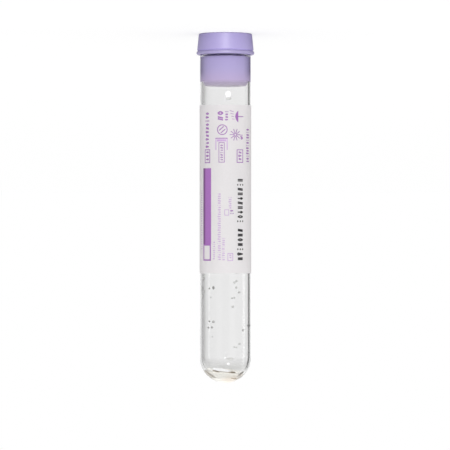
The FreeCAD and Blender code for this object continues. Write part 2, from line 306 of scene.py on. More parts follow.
# streaks of thickened additive: along the pool's edge on both sides, and along its surface
dregs = [
    (-58.4, 3.25, 2.0, 0.42, 0.18, -0.5), (57.2, 3.36, 1.2, 0.36, 0.17, 0.42),
    (-27.5, 4.1, 1.3, 0.22, 0.1, -0.2), (-4.0, 3.95, 2.2, 0.11, 0.06, -0.08),
    (20.0, 3.78, 1.5, 0.26, 0.12, -0.06),
]
faintDrops = [
    (8.0, 86.4, 0.8, 0.34, 0.2), (11.8, 7.7, 1.1, 0.4, 0.16), (16.0, 26.1, 0.3, 0.24, 0.22),
    (22.0, 26.2, 0.3, 0.28, 0.24),
    (22.2, 30.8, 0.3, 0.34, 0.2), (27.6, 31.2, 0.34, 0.28, 0.24), (35.0, 27.8, 0.42, 0.28, 0.26),
    (27.0, 29.3, 0.28, 0.34, 0.2), (18.2, 23.5, 0.38, 0.34, 0.24), (47.5, 16.3, 0.42, 0.36, 0.26),
    (36.0, 12.2, 0.36, 0.3, 0.24), (22.0, 11.3, 0.3, 0.2, 0.16), (28.0, 11.2, 0.3, 0.22, 0.16),
    (26.0, 33.6, 0.36, 0.24, 0.18), (-66.0, 31.9, 0.5, 0.5, 0.4), (-70.0, 26.5, 0.4, 0.7, 0.24),
    (-64.0, 23.0, 0.3, 0.5, 0.2), (-74.0, 28.9, 0.3, 0.8, 0.2), (-60.0, 28.0, 0.3, 0.3, 0.2),
]


def makePool(material):
    # a nearly level surface that climbs at the wall, closed by the round end's inside
    shape = bmesh.new()
    wall = boreRadius + additive["sink"]
    turns = additive["turns"]
    middle = glassTop - additive["poolMiddle"]
    edges = []
    for k in range(turns):
        a = 2 * math.pi * k / turns
        height = glassTop - additive["poolEdge"] - additive["poolTilt"] * boreRadius * math.cos(a)
        edges.append((a, height, math.sqrt(wall ** 2 - (height - boreCentre) ** 2)))
    surfaceRings, wallRings = additive["poolRings"]
    rings = [[shape.verts.new((0, 0, middle))]]
    for step in range(1, surfaceRings + 1):
        out = step / surfaceRings
        ring = []
        for a, h, r in edges:
            level = middle - additive["poolTilt"] * r * out * math.cos(a)
            ring.append(shape.verts.new((r * out * math.cos(a), r * out * math.sin(a),
                                         level + (h - level) * out ** additive["poolClimb"])))
        rings.append(ring)
    for step in range(1, wallRings + 1):
        ring = []
        for a, h, r in edges:
            start = math.asin((h - boreCentre) / wall)
            lift = start + (math.pi / 2 - start) * step / (wallRings + 1)
            out = wall * math.cos(lift)
            ring.append(shape.verts.new((out * math.cos(a), out * math.sin(a),
                                         boreCentre + wall * math.sin(lift))))
        rings.append(ring)
    rings.append([shape.verts.new((0, 0, boreCentre + wall))])
    joinRings(shape, rings)
    return closeMesh("additivePool", shape, material, 60)


def makeFilm(material):
    # a thin layer on the wall from the pool's edge towards the stopper; its back lies in the glass
    low = glassTop - additive["filmReach"]
    high = glassTop - additive["poolEdge"] + additive["filmStart"]
    rows = additive["filmRows"]
    shape = bmesh.new()
    section = []
    for step in range(rows + 1):
        height = low + (high - low) * step / rows
        out = math.sqrt(boreRadius ** 2 - max(0.0, height - boreCentre) ** 2)
        section.append((out - additive["film"] * min(1.0, step / 4), height))
    for step in range(rows, -1, -1):
        height = low + (high - low) * step / rows
        wall = boreRadius + additive["sink"]
        section.append((math.sqrt(wall ** 2 - max(0.0, height - boreCentre) ** 2), height))
    rings = [[shape.verts.new((r * math.cos(a), r * math.sin(a), h))
              for a in (2 * math.pi * k / additive["turns"] for k in range(additive["turns"]))]
             for r, h in section]
    joinRings(shape, rings + rings[:1])
    return closeMesh("additiveFilm", shape, material, 60)


def addGrain(shape, across, toBack, size, seed):
    # a rough, flattened grain on the glass of the round end
    rng = random.Random(seed)
    deep = boreRadius - 0.5 * size * mm
    up = boreCentre + math.sqrt(deep ** 2 - (across * mm) ** 2 - (toBack * mm) ** 2)
    made = bmesh.ops.create_icosphere(shape, subdivisions=2, radius=size * mm)
    for vert in made["verts"]:
        vert.co *= rng.uniform(0.75, 1.15)
        vert.co = Vector((vert.co.x * 1.3 + across * mm, vert.co.y + toBack * mm, vert.co.z * 0.7 + up))


def addDrop(shape, angle, fromTip, halfWidth, halfHeight, bulge, tilt=0.0):
    # a flattened dome of liquid on the bore; its back follows the wall
    turns, steps = 32, 8
    middle = math.radians(angle)

    def place(along, up, radius):
        a = middle + along / boreRadius
        height = glassTop - fromTip * mm - up - tilt * along
        radius -= boreRadius - math.sqrt(boreRadius ** 2 - max(0.0, height - boreCentre) ** 2)
        return (-radius * math.sin(a), -radius * math.cos(a), height)

    def oval(out, radius):
        angles = [2 * math.pi * k / turns for k in range(turns)]
        return [shape.verts.new(place(out * halfWidth * mm * math.cos(a),
                                      out * halfHeight * mm * math.sin(a), radius)) for a in angles]

    back = boreRadius + additive["sink"]
    rings = [[shape.verts.new(place(0, 0, boreRadius - bulge * mm))]]
    for step in range(1, steps + 1):
        out = math.sin(math.pi / 2 * step / steps)
        rings.append(oval(out, boreRadius - bulge * mm * (1 - out ** 2) ** 0.62))
    rings += [oval(0.98 * step / steps, back) for step in range(steps, 0, -1)]
    rings.append([shape.verts.new(place(0, 0, back))])
    joinRings(shape, rings)


def makeDrops(name, places, material):
    shape = bmesh.new()
    for drop in places:
        addDrop(shape, *drop)
    return closeMesh(name, shape, material, 60)


# Watery additive: clear and colourless with the least warm cast, glossy, bends light less than
# glass. In the pool it is warmer where a little undissolved additive lies on the glass.
poolAdditive, tree = newMaterial("wateryPool")
place = addNode(tree, "ShaderNodeTexCoord")
away = addNode(tree, "ShaderNodeVectorMath", {"operation": "DISTANCE"},
               {0: place.outputs["Object"], 1: additive["sediment"]})
spread = addNode(tree, "ShaderNodeTexNoise", inputs={
    "Vector": place.outputs["Object"], "Scale": 1 / (1.5 * mm), "Detail": 3.0})
spread = addNode(tree, "ShaderNodeMath", {"operation": "MULTIPLY_ADD"},
                 {0: spread.outputs["Fac"], 1: 1.5 * mm, 2: away.outputs["Value"]})
warm = addNode(tree, "ShaderNodeMapRange", {"interpolation_type": "SMOOTHSTEP"}, {
    "Value": spread.outputs[0], "From Min": 1.8 * mm, "From Max": 4.2 * mm,
    "To Min": 1.0, "To Max": 0.0})
warm = addNode(tree, "ShaderNodeMix", {"data_type": "RGBA"}, {
    0: warm.outputs[0], 6: linear(additive["clear"]), 7: linear(additive["warm"])})
# brown along its edge on both sides and along its surface in the middle, where most lies in line
slant = addNode(tree, "ShaderNodeLayerWeight", inputs={"Blend": 0.5})
atWall = addNode(tree, "ShaderNodeValToRGB", {"stops": [
    (0.16, (0, 0, 0, 1)), (0.3, (0.9, 0.9, 0.9, 1)), (0.38, (0.9, 0.9, 0.9, 1)), (0.46, (0, 0, 0, 1))]},
                 {"Fac": slant.outputs["Facing"]})
atSurface = addNode(tree, "ShaderNodeMapRange", inputs={
    "Value": slant.outputs["Facing"], "From Min": 0.6, "From Max": 0.95, "To Max": 0.8})
spot = addNode(tree, "ShaderNodeSeparateXYZ", inputs={0: place.outputs["Object"]})
aside = addNode(tree, "ShaderNodeMath", {"operation": "ABSOLUTE"}, {0: spot.outputs["X"]})
aside = addNode(tree, "ShaderNodeMapRange", {"interpolation_type": "SMOOTHSTEP"}, {
    "Value": aside.outputs[0], "From Min": 2.6 * mm, "From Max": 4.2 * mm})
brown = addNode(tree, "ShaderNodeMix", {"data_type": "FLOAT"}, {
    0: aside.outputs[0], 2: atSurface.outputs[0], 3: atWall.outputs["Color"]})
brown = addNode(tree, "ShaderNodeMix", {"data_type": "RGBA"}, {
    0: brown.outputs[0], 6: warm.outputs[2], 7: linear(additive["brown"])})
# the pool gives off a faint glow: painted light
body = addNode(tree, "ShaderNodeBsdfPrincipled", inputs={
    "Base Color": brown.outputs[2], "IOR": additive["poolIor"], "Roughness": 0.0,
    "Transmission Weight": 1.0,
    "Emission Color": linear("#fff9ee"), "Emission Strength": additive["glow"]})
passSoftLight(tree, body)

# A thin uneven film of it wets the glass next to the pool and greys it a little.
filmAdditive, tree = newMaterial("wateryFilm")
place = addNode(tree, "ShaderNodeTexCoord")
spot = addNode(tree, "ShaderNodeSeparateXYZ", inputs={0: place.outputs["Object"]})
stretched = addNode(tree, "ShaderNodeMapping", inputs={
    "Vector": place.outputs["Object"], "Scale": (1, 1, 3)})
streaks = addNode(tree, "ShaderNodeTexNoise", inputs={
    "Vector": stretched.outputs[0], "Scale": 1 / (4 * mm), "Detail": 2.0})
height = addNode(tree, "ShaderNodeMath", {"operation": "MULTIPLY_ADD"},
                 {0: streaks.outputs["Fac"], 1: 2.4 * mm, 2: spot.outputs["Z"]})
wet = addNode(tree, "ShaderNodeMapRange", {"interpolation_type": "SMOOTHSTEP"}, {
    "Value": height.outputs[0], "From Min": glassTop - additive["filmReach"] + 1.7 * mm,
    "From Max": glassTop - additive["poolEdge"] + 1.0 * mm})
wet = addNode(tree, "ShaderNodeMix", {"data_type": "RGBA"}, {
    0: wet.outputs[0], 6: (1, 1, 1, 1), 7: linear(additive["dull"])})
body = addNode(tree, "ShaderNodeBsdfPrincipled", inputs={
    "Base Color": wet.outputs[2], "IOR": 1.05, "Roughness": 0.0, "Transmission Weight": 1.0})
passSoftLight(tree, body)

# Undissolved additive: dull brown grains on the glass in the pool.
grainAdditive, tree = newMaterial("undissolvedAdditive")
place = addNode(tree, "ShaderNodeTexCoord")
mottle = addNode(tree, "ShaderNodeTexNoise", inputs={
    "Vector": place.outputs["Object"], "Scale": 1 / (0.2 * mm), "Detail": 2.0})
colour = addNode(tree, "ShaderNodeValToRGB",
                 {"stops": [(0.3, linear("#8f8069")), (0.7, linear("#a8977f"))]},
                 {"Fac": mottle.outputs["Fac"]})
body = addNode(tree, "ShaderNodeBsdfPrincipled", inputs={
    "Base Color": colour.outputs["Color"], "Roughness": 0.7})
addNode(tree, "ShaderNodeOutputMaterial", inputs={"Surface": body.outputs[0]})

# The largest drops are painted white in their middle, a painted highlight, and grey towards their edge,
# a painted shade.
dropsPaintedWhite, tree = newMaterial("dropsPaintedWhite")
slant = addNode(tree, "ShaderNodeLayerWeight", inputs={"Blend": 0.5})
paintedWhiteShare = addNode(tree, "ShaderNodeMapRange", {"interpolation_type": "SMOOTHSTEP"}, {
    "Value": slant.outputs["Facing"], "From Min": 0.04, "From Max": 0.6,
    "To Min": 0.95, "To Max": 0.35})
# painted shade: the liquid turns grey towards the drop's edge
rim = addNode(tree, "ShaderNodeValToRGB",
              {"stops": [(0.25, linear("#ffffff")), (0.6, linear("#b4b4b4"))]},
              {"Fac": slant.outputs["Facing"]})
liquid = addNode(tree, "ShaderNodeBsdfPrincipled", inputs={
    "Base Color": rim.outputs["Color"], "IOR": additive["ior"], "Roughness": 0.0,
    "Transmission Weight": 1.0})
paintedWhiteBody = addNode(tree, "ShaderNodeBsdfDiffuse", inputs={"Color": linear("#f7f7f8")})
behind = addNode(tree, "ShaderNodeBsdfTranslucent", inputs={"Color": (0.12, 0.12, 0.12, 1)})
paintedWhiteBody = addNode(tree, "ShaderNodeAddShader", inputs={0: paintedWhiteBody.outputs[0], 1: behind.outputs[0]})
body = addNode(tree, "ShaderNodeMixShader",
               inputs={0: paintedWhiteShare.outputs[0], 1: liquid.outputs[0], 2: paintedWhiteBody.outputs[0]})
addNode(tree, "ShaderNodeOutputMaterial", inputs={"Surface": body.outputs[0]})

# The same liquid as droplets, each with a dark edge round a clear middle; as the thinnest droplets,
# which only grey the glass; and dried to brown streaks. The droplets and the thinnest ones are darkened
# as they are seen edge-on, a painted shade.
dropletAdditive = clearMaterial("wateryDroplets", "#c4c4c2", additive["ior"],
                                edge=(0.05, 0.35, "#101010"))
mistAdditive = clearMaterial("wateryMist", "#f2f2f0", additive["ior"], edge=(0.08, 0.5, "#757573"))
dregsAdditive = clearMaterial("thickenedAdditive", "#ab9e8c", additive["ior"],
                              edge=(0.1, 0.5, "#6a5d4d"))

pool = makePool(poolAdditive)
drops = makeDrops("additiveDrops", largeDrops, dropsPaintedWhite)
droplets = makeDrops("additiveDroplets", smallDrops, dropletAdditive)
film = makeFilm(filmAdditive)
streakPiece = makeDrops("additiveStreaks", dregs, dregsAdditive)
grainShape = bmesh.new()
for k, (across, toBack, size) in enumerate(grains):
    addGrain(grainShape, across, toBack, size, 50 + k)
grainPiece = closeMesh("additiveGrains", grainShape, grainAdditive, 60)
mist = makeDrops("additiveMist", faintDrops, mistAdditive)
for piece in (pool, film, drops, droplets, mist, streakPiece, grainPiece):
    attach(piece, "tube")
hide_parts("additive")
print("additive made:", len(largeDrops + smallDrops + faintDrops), "drops")


# The stopper keeps its CAD shape and gets its rubber.

rubber = {
    "base": "#a69bce",         # the head, in soft blotches of two tones
    "paler": "#aba0d2",
    "blotch": 6 * mm,
    "grain": 0.35 * mm,        # mould texture, drawn coarser than the real one so that it shows
    "satin": 0.46,             # roughness of the head
    "wetted": 1.0,             # roughness of the plug, which shows no shine under the glass
    "bead": "#9f95c0",         # the bead round the head's rim, in a darker, greyer tone
    "beadHeight": 1.1 * mm,
    "dark": "#33245a",         # painted shade: the crevice between the head and the glass's rim, painted dark
    "paintedCreviceShade": 0.56 * mm,      # how far up the plug the painted crevice shade reaches
    "mouthPaintedLight": "#f4eff8",    # painted light: the rounded mouth of the plug's hollow, painted pale
    "mouthRadius": boreRadius - 0.96 * mm,
}
# the plug from its root to its end: share of its length and colour; darker at the root, a painted shade
# under the head, and paler towards the end, painted light
plugPaintedShadeAndLight = [(0.07, "#978cba"), (0.16, "#a096c2"), (0.45, "#a79dc8"), (0.84, "#b3a3c8"),
             (0.95, "#b0a5bc")]
# Moulded butyl rubber: satin, with a soft highlight down the head and an even grain from the mould.
# The plug is wet to the glass and has no shine of its own; it is painted darker at its root, a painted
# shade, and its thin hollow end is pinker and painted paler, painted light.
stopperRubber, tree = newMaterial("mouldedButylRubber")
place = addNode(tree, "ShaderNodeTexCoord")
blotches = addNode(tree, "ShaderNodeTexNoise", inputs={
    "Vector": place.outputs["Object"], "Scale": 1 / rubber["blotch"], "Detail": 3.0})
colour = addNode(tree, "ShaderNodeValToRGB",
                 {"stops": [(0.35, linear(rubber["base"])), (0.7, linear(rubber["paler"]))]},
                 {"Fac": blotches.outputs["Fac"]})
spot = addNode(tree, "ShaderNodeSeparateXYZ", inputs={0: place.outputs["Object"]})
onBead = addNode(tree, "ShaderNodeMapRange", {"interpolation_type": "SMOOTHSTEP"}, {
    "Value": spot.outputs["Z"], "From Min": rimHeight - rubber["beadHeight"] - 0.2 * mm,
    "From Max": rimHeight - rubber["beadHeight"] + 0.2 * mm})
colour = addNode(tree, "ShaderNodeMix", {"data_type": "RGBA"}, {
    0: onBead.outputs[0], 6: colour.outputs["Color"], 7: linear(rubber["bead"])})
alongPlug = addNode(tree, "ShaderNodeMapRange", inputs={
    "Value": spot.outputs["Z"], "From Min": rimHeight, "From Max": plugEnd})
plugColourWithPaintedLight = addNode(tree, "ShaderNodeValToRGB",
                     {"stops": [(share, linear(tone)) for share, tone in plugPaintedShadeAndLight]},
                     {"Fac": alongPlug.outputs[0]})
# painted light: at the hollow's mouth, where the rubber is thin, it is painted pale for the light
# through it
acrossAxis = addNode(tree, "ShaderNodeVectorMath", {"operation": "MULTIPLY"},
                     {0: place.outputs["Object"], 1: (1.0, 1.0, 0.0)})
radius = addNode(tree, "ShaderNodeVectorMath", {"operation": "LENGTH"}, {0: acrossAxis.outputs[0]})
within = addNode(tree, "ShaderNodeMapRange", {"interpolation_type": "SMOOTHSTEP"}, {
    "Value": radius.outputs["Value"], "From Min": rubber["mouthRadius"] - 0.09 * mm,
    "From Max": rubber["mouthRadius"] + 0.09 * mm, "To Min": 1.0, "To Max": 0.0})
atMouth = addNode(tree, "ShaderNodeMapRange", {"interpolation_type": "SMOOTHSTEP"}, {
    "Value": alongPlug.outputs[0], "From Min": 0.83, "From Max": 0.92})
paintedLightAtMouth = addNode(tree, "ShaderNodeMath", {"operation": "MULTIPLY"},
                {0: within.outputs[0], 1: atMouth.outputs[0]})
plugColourWithPaintedLight = addNode(tree, "ShaderNodeMix", {"data_type": "RGBA"}, {
    0: paintedLightAtMouth.outputs[0], 6: plugColourWithPaintedLight.outputs["Color"], 7: linear(rubber["mouthPaintedLight"])})
inGlass = addNode(tree, "ShaderNodeMath", {"operation": "GREATER_THAN"},
                  {0: spot.outputs["Z"], 1: rimHeight})
colour = addNode(tree, "ShaderNodeMix", {"data_type": "RGBA"}, {
    0: inGlass.outputs[0], 6: colour.outputs[2], 7: plugColourWithPaintedLight.outputs[2]})
# painted shade: the crevice, the seat under the glass's rim and the plug's root, is painted dark
under = addNode(tree, "ShaderNodeMapRange", {"interpolation_type": "SMOOTHSTEP"}, {
    "Value": radius.outputs["Value"], "From Min": outerRadius - 0.15 * mm,
    "From Max": outerRadius + 0.1 * mm, "To Min": 1.0, "To Max": 0.0})
above = addNode(tree, "ShaderNodeMath", {"operation": "GREATER_THAN"},
                {0: spot.outputs["Z"], 1: rimHeight - 0.2 * mm})
fade = addNode(tree, "ShaderNodeMapRange", {"interpolation_type": "SMOOTHSTEP"}, {
    "Value": spot.outputs["Z"], "From Min": rimHeight + rubber["paintedCreviceShade"] - 0.12 * mm,
    "From Max": rimHeight + rubber["paintedCreviceShade"] + 0.12 * mm, "To Min": 1.0, "To Max": 0.0})
paintedCreviceShade = addNode(tree, "ShaderNodeMath", {"operation": "MULTIPLY"},
                  {0: under.outputs[0], 1: above.outputs[0]})
paintedCreviceShade = addNode(tree, "ShaderNodeMath", {"operation": "MULTIPLY"},
                  {0: paintedCreviceShade.outputs[0], 1: fade.outputs[0]})
colour = addNode(tree, "ShaderNodeMix", {"data_type": "RGBA"}, {
    0: paintedCreviceShade.outputs[0], 6: colour.outputs[2], 7: linear(rubber["dark"])})
satin = addNode(tree, "ShaderNodeMapRange", inputs={
    "Value": inGlass.outputs[0], "To Min": rubber["satin"], "To Max": rubber["wetted"]})
grain = addNode(tree, "ShaderNodeTexNoise", inputs={
    "Vector": place.outputs["Object"], "Scale": 1 / rubber["grain"], "Detail": 3.0})
relief = addNode(tree, "ShaderNodeBump", inputs={
    "Height": grain.outputs["Fac"], "Strength": 0.25, "Distance": 0.02 * mm})
body = addNode(tree, "ShaderNodeBsdfPrincipled", inputs={
    "Base Color": colour.outputs[2], "Roughness": satin.outputs[0], "Specular IOR Level": 0.7,
    "Normal": relief.outputs["Normal"]})
addNode(tree, "ShaderNodeOutputMaterial", inputs={"Surface": body.outputs[0]})
nodes["stopper"].material_slots[0].material = stopperRubber
print("stopper finished")


# The label keeps its CAD shape and gets its paper; the print is a film of ink on it.

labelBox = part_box("label")
label = {
    "paper": "#e9e7e8",
    "shade": "#e4e2e3",        # its clouds
    "through": 0.34,           # how much light the paper lets through
    "inkLow": -0.015 * mm,     # the ink film starts just inside the paper's face
    "inkHigh": 0.02 * mm,
    "printFrom": 0.22 * mm,    # where the print's own heights start, above the label's edge
    "cut": 0.4,                # mm between the cuts that let a patch bend round the tube
}
labelRadius = -labelBox[0].y
labelEdge = labelBox[0].z      # the label's edge on the stopper's side

# Coated paper: white, smooth and nearly matt, with a faint cloudiness of pressed fibre.
labelPaper, tree = newMaterial("coatedLabelPaper")
place = addNode(tree, "ShaderNodeTexCoord")
fibre = addNode(tree, "ShaderNodeTexNoise", inputs={
    "Vector": place.outputs["Object"], "Scale": 1 / (0.5 * mm), "Detail": 4.0})
cloud = addNode(tree, "ShaderNodeValToRGB",
                {"stops": [(0.3, linear(label["shade"])), (0.7, linear(label["paper"]))]},
                {"Fac": fibre.outputs["Fac"]})
relief = addNode(tree, "ShaderNodeBump", inputs={
    "Height": fibre.outputs["Fac"], "Strength": 0.15, "Distance": 0.01 * mm})
body = addNode(tree, "ShaderNodeBsdfPrincipled", inputs={
    "Base Color": cloud.outputs["Color"], "Roughness": 0.5, "Specular IOR Level": 0.25,
    "Normal": relief.outputs["Normal"]})
behind = addNode(tree, "ShaderNodeBsdfTranslucent", inputs={"Color": linear("#f6f4f4")})
lit = addNode(tree, "ShaderNodeMixShader",
              inputs={0: label["through"], 1: body.outputs[0], 2: behind.outputs[0]})
addNode(tree, "ShaderNodeOutputMaterial", inputs={"Surface": lit.outputs[0]})
nodes["label"].material_slots[0].material = labelPaper


def printingInk(name, colour, paler):
    # flexo ink on coated paper: flat colour that lies a little uneven, satin
    material, tree = newMaterial(name)
    place = addNode(tree, "ShaderNodeTexCoord")
    mottle = addNode(tree, "ShaderNodeTexNoise", inputs={
        "Vector": place.outputs["Object"], "Scale": 1 / (0.3 * mm), "Detail": 3.0})
    lay = addNode(tree, "ShaderNodeValToRGB",
                  {"stops": [(0.3, linear(colour)), (0.75, linear(paler))]},
                  {"Fac": mottle.outputs["Fac"]})
    body = addNode(tree, "ShaderNodeBsdfPrincipled", inputs={
        "Base Color": lay.outputs["Color"], "Roughness": 0.45})
    addNode(tree, "ShaderNodeOutputMaterial", inputs={"Surface": body.outputs[0]})
    return material


def onLabel(across, along, lift):
    # across: mm round the paper from its middle to -X; along: mm from the edge near the stopper
    a = across * mm / labelRadius
    r = labelRadius + lift
    return (-r * math.sin(a), -r * math.cos(a), labelEdge + label["printFrom"] + along * mm)


def addInk(shape, outline):
    # a closed film of ink that follows the paper; outline in mm
    flat = bmesh.new()
    flat.faces.new([flat.verts.new((u, w, 0)) for u, w in outline])
    left, right = min(u for u, w in outline), max(u for u, w in outline)
    cut = (math.floor(left / label["cut"]) + 1) * label["cut"]
    while cut < right - 0.02:
        if cut > left + 0.02:
            bmesh.ops.bisect_plane(flat, geom=flat.verts[:] + flat.edges[:] + flat.faces[:],
                                   plane_co=(cut, 0, 0), plane_no=(1, 0, 0))
        cut += label["cut"]
    low = {v: shape.verts.new(onLabel(v.co.x, v.co.y, label["inkLow"])) for v in flat.verts}
    high = {v: shape.verts.new(onLabel(v.co.x, v.co.y, label["inkHigh"])) for v in flat.verts}
    for face in flat.faces:
        shape.faces.new([high[v] for v in face.verts])
        shape.faces.new([low[v] for v in reversed(face.verts)])
    for edge in flat.edges:
        if edge.is_boundary:
            a, b = edge.verts
            shape.faces.new([low[a], low[b], high[b], high[a]])
    flat.free()


def bar(u0, w0, u1, w1):
    return [[(u0, w0), (u1, w0), (u1, w1), (u0, w1)]]


def outlined(u0, w0, u1, w1, line):
    return (bar(u0, w0, u1, w0 + line) + bar(u0, w1 - line, u1, w1)
            + bar(u0, w0 + line, u0 + line, w1 - line) + bar(u1 - line, w0 + line, u1, w1 - line))


def stroke(u0, w0, u1, w1, line):
    # a straight stroke of that width between two points
    du, dw = u1 - u0, w1 - w0
    size = math.hypot(du, dw)
    nu, nw = -dw / size * line / 2, du / size * line / 2
    return [[(u0 + nu, w0 + nw), (u1 + nu, w1 + nw), (u1 - nu, w1 - nw), (u0 - nu, w0 - nw)]]


def ringShape(u, w, radius, line, slices=36):
    pieces, inner = [], radius - line
    for k in range(slices):
        a0, a1 = 2 * math.pi * k / slices, 2 * math.pi * (k + 1) / slices
        pieces.append([(u + r * math.cos(a), w + r * math.sin(a))
                       for r, a in ((radius, a0), (radius, a1), (inner, a1), (inner, a0))])
    return pieces


# plain marks as strokes in a cell, from (across, along) to (across, along), each from 0 to 1;
# none is a letter or a digit
markShapes = {
    "diamond": ((0.5, 0, 1, 0.5), (1, 0.5, 0.5, 1), (0.5, 1, 0, 0.5), (0, 0.5, 0.5, 0)),
    "pair": ((0, 0.15, 1, 0.15), (0, 0.85, 1, 0.85)),
    "triangle": ((0, 0, 0, 1), (0, 0, 1, 0.5), (0, 1, 1, 0.5)),
    "slants": ((0, 0, 1, 0.4), (0, 0.6, 1, 1)),
    "arrow": ((0, 0.5, 1, 0.5), (0.55, 0, 1, 0.5), (0.55, 1, 1, 0.5)),
    "stacked": ((0, 0.1, 0, 0.9), (0.5, 0.1, 0.5, 0.9), (1, 0.1, 1, 0.9)),
}


def plainMarks(u0, u1, start, end, pitch, weight, seed, fill=0.7):
    # a row of plain marks where the real label has its type; they spell nothing
    rng = random.Random(seed)
    shapes, at, last = [], start, None
    inset = weight / 2
    while at + pitch * fill < end + 0.05:
        last = rng.choice([m for m in sorted(markShapes) if m != last])
        low, high, near, far = u0 + inset, u1 - inset, at + inset, at + pitch * fill - inset
        for p0, q0, p1, q1 in markShapes[last]:
            shapes += stroke(low + (high - low) * p0, near + (far - near) * q0,
                             low + (high - low) * p1, near + (far - near) * q1, weight)
        at += pitch
    return shapes


# in mm on the paper: the framed field at the bar's end, and the long row with its framed start
violet = outlined(-7.9, 42.0, -4.65, 47.0, 0.42)
violet += outlined(-7.14, 13.3, -4.95, 17.45, 0.24) + plainMarks(-6.7, -5.35, 13.8, 17.0, 1.08, 0.3, 2)
violet += plainMarks(-6.75, -5.3, 2.1, 13.0, 1.11, 0.3, 3)
# two short rows, and a ring with two strokes across
violet += plainMarks(-2.54, -0.5, 1.7, 4.8, 1.6, 0.42, 8, 0.85)
violet += plainMarks(-0.1, 0.9, 1.7, 4.8, 0.8, 0.26, 5)
violet += ringShape(-0.95, 7.4, 1.6, 0.26) + stroke(-1.9, 7.6, -0.5, 6.4, 0.26)
violet += stroke(-1.4, 8.4, 0.0, 7.2, 0.26)
# a dome on a stick with slanting strokes over it
violet += [[(4.06, 1.65), (4.06, 5.11), (3.6, 4.75), (3.2, 4.1), (3.02, 3.38), (3.2, 2.66), (3.6, 2.0)]]
violet += bar(4.06, 3.28, 6.0, 3.52)
for k in range(4):
    violet += stroke(1.3 + 0.25 * k, 1.6 + 0.85 * k, 2.5 + 0.1 * k, 1.95 + 0.75 * k, 0.14)
# a star of rays with a small ring beside it
rays, starAcross, starAlong = 10, 3.1, 8.9
for k in range(rays):
    a = 2 * math.pi * k / rays
    violet += stroke(starAcross + 0.3 * math.cos(a), starAlong + 0.3 * math.sin(a),
                     starAcross + 1.8 * math.cos(a), starAlong + 1.8 * math.sin(a), 0.2)
violet += ringShape(5.35, 9.9, 0.42, 0.3, 20) + stroke(4.75, 9.2, 5.2, 9.6, 0.24)
violet += bar(5.3, 8.8, 5.55, 9.4)
# framed rows, and the rows near the label's middle and side
violet += outlined(3.55, 13.33, 5.85, 17.36, 0.22) + plainMarks(4.1, 5.3, 13.9, 16.9, 1.0, 0.22, 11)
violet += outlined(-2.07, 11.2, -0.24, 17.3, 0.18) + plainMarks(-1.6, -0.7, 11.9, 16.9, 0.72, 0.17, 4)
violet += bar(-3.09, 9.87, 0.66, 10.12)
violet += plainMarks(7.3, 8.9, 7.0, 17.4, 0.8, 0.26, 21)
violet += plainMarks(1.5, 2.5, 31.6, 33.3, 0.8, 0.2, 37)

# the paler rows, frames and the bracket round the framed row
lilac = plainMarks(-3.96, -3.19, 41.2, 46.9, 0.62, 0.13, 31)
lilac += plainMarks(-2.38, -1.36, 26.6, 46.9, 0.68, 0.15, 32)
lilac += plainMarks(-1.0, -0.09, 40.0, 46.9, 0.64, 0.14, 33)
lilac += plainMarks(0.97, 1.9, 27.7, 31.3, 0.62, 0.14, 34)
lilac += outlined(0.66, 44.7, 2.35, 47.0, 0.18) + plainMarks(1.1, 1.9, 45.1, 46.6, 0.7, 0.16, 36)
lilac += outlined(-0.3, 31.5, 1.1, 33.3, 0.16)
lilac += plainMarks(-9.4, -8.6, 25.6, 43.6, 0.7, 0.14, 35)
lilac += bar(-3.09, 10.12, -2.8, 13.5) + bar(0.37, 10.12, 0.66, 13.5) + bar(-2.6, 10.3, 0.2, 10.95)

# the two stamped rows
black = plainMarks(3.72, 5.9, 37.3, 47.1, 1.43, 0.4, 41)
black += plainMarks(3.72, 5.9, 22.15, 35.6, 1.38, 0.34, 45)

inks = [
    ("printBar", bar(-6.95, 19.0, -4.58, 42.0), printingInk("violetInk", "#9d66b0", "#a870b8")),
    ("printBarEdge", bar(-7.95, 19.0, -6.95, 42.0), printingInk("deepVioletInk", "#74497f", "#80528b")),
    ("printMarks", violet, printingInk("violetLineInk", "#9560a8", "#a672b6")),
    ("printPale", lilac, printingInk("lilacInk", "#c09dce", "#cdb0d8")),
    ("printRows", black, printingInk("blackInk", "#242325", "#343235")),
]
for name, outlines, ink in inks:
    shape = bmesh.new()
    for outline in outlines:
        addInk(shape, outline)
    film = closeMesh(name, shape, ink, 30)
    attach(film, "tube")
print("label printed")


# Floor, room and lamps.

studio = {
    "ambient": 0.84,             # soft light from all sides
    "room": 0.16,                # the darkest that glass mirrors or shows
    "backdrop": (0.96, 1.03),    # what glass shows of the backdrop, to the left and to the right
    "steep": 1.25,               # how much brighter it shows it from above or below
    "left": (0.35, 0.6, 0.62),   # sideways parts of a direction between which it darkens, how much
    "right": (0.3, 0.5, 0.94),
    "through": (0.07, 0.46, 0.92),   # the same on the left, straight through the glass
    "floor": "#e6e6e6",
    "floorPaintedShade": "#3c3c3c",   # painted shade: next to the stopper the floor is painted dark to soft light, so it throws back little light
    # distances from the axis over which that painted shade gives way to the floor's grey
    "shade": (16 * mm, 22 * mm),
    "floorSeen": 0.45,           # what the camera sees of the floor: a share that takes the shadow,
    "floorGlow": 0.62,           # and a share that makes up the rest of its white
}


